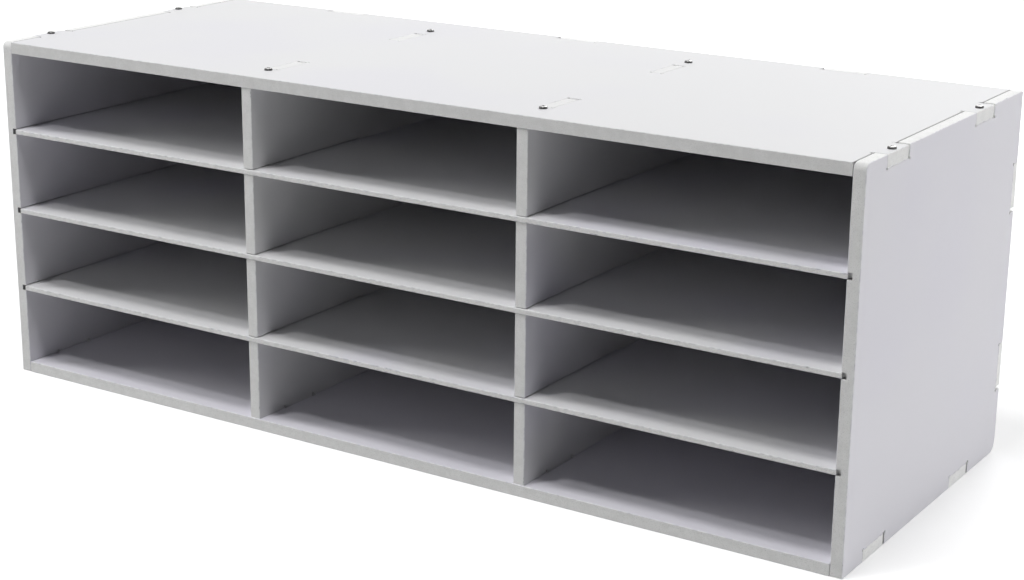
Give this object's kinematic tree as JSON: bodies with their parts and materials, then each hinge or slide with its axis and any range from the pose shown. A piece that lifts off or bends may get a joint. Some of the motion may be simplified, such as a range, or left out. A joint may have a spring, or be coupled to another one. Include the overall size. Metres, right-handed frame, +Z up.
{
  "type": "open-fronted paper organizer",
  "caption": "Wide open-fronted desktop organizer of slotted white boards, with columns of shallow shelves for flat craft paper.",
  "frame": {"origin": "centre of the footprint on the surface that the case stands on", "axes": "+X along the width to the right seen from the open front, +Y to the back, +Z up; the open front faces -Y"},
  "size_m": [0.98, 0.37, 0.3684],
  "materials": {
    "white_board": "satin",
    "nickel_screw": "polished"
  },
  "bodies": {
    "case": {"side_panel_left": "white_board", "side_panel_right": "white_board", "top_panel": "white_board", "bottom_panel": "white_board", "divider_left": "white_board", "divider_right": "white_board", "back_panel": "white_board", "top_screw_left_side_front": "nickel_screw", "top_screw_left_side_rear": "nickel_screw", "top_screw_left_divider_front": "nickel_screw", "top_screw_left_divider_rear": "nickel_screw", "top_screw_right_side_front": "nickel_screw", "top_screw_right_side_rear": "nickel_screw", "top_screw_right_divider_front": "nickel_screw", "top_screw_right_divider_rear": "nickel_screw", "bottom_screw_left_side_front": "nickel_screw", "bottom_screw_left_side_rear": "nickel_screw", "bottom_screw_left_divider_front": "nickel_screw", "bottom_screw_left_divider_rear": "nickel_screw", "bottom_screw_right_side_front": "nickel_screw", "bottom_screw_right_side_rear": "nickel_screw", "bottom_screw_right_divider_front": "nickel_screw", "bottom_screw_right_divider_rear": "nickel_screw"},
    "shelf_lower": {"shelf_lower": "white_board"},
    "shelf_middle": {"shelf_middle": "white_board"},
    "shelf_upper": {"shelf_upper": "white_board"}
  },
  "joints": [
    {"name": "shelf_lower_slide", "type": "slide", "parent": "case", "child": "shelf_lower", "axis": [0, -1, 0], "range_m": [0, 0.3]},
    {"name": "shelf_middle_slide", "type": "slide", "parent": "case", "child": "shelf_middle", "axis": [0, -1, 0], "range_m": [0, 0.3]},
    {"name": "shelf_upper_slide", "type": "slide", "parent": "case", "child": "shelf_upper", "axis": [0, -1, 0], "range_m": [0, 0.3]}
  ]
}
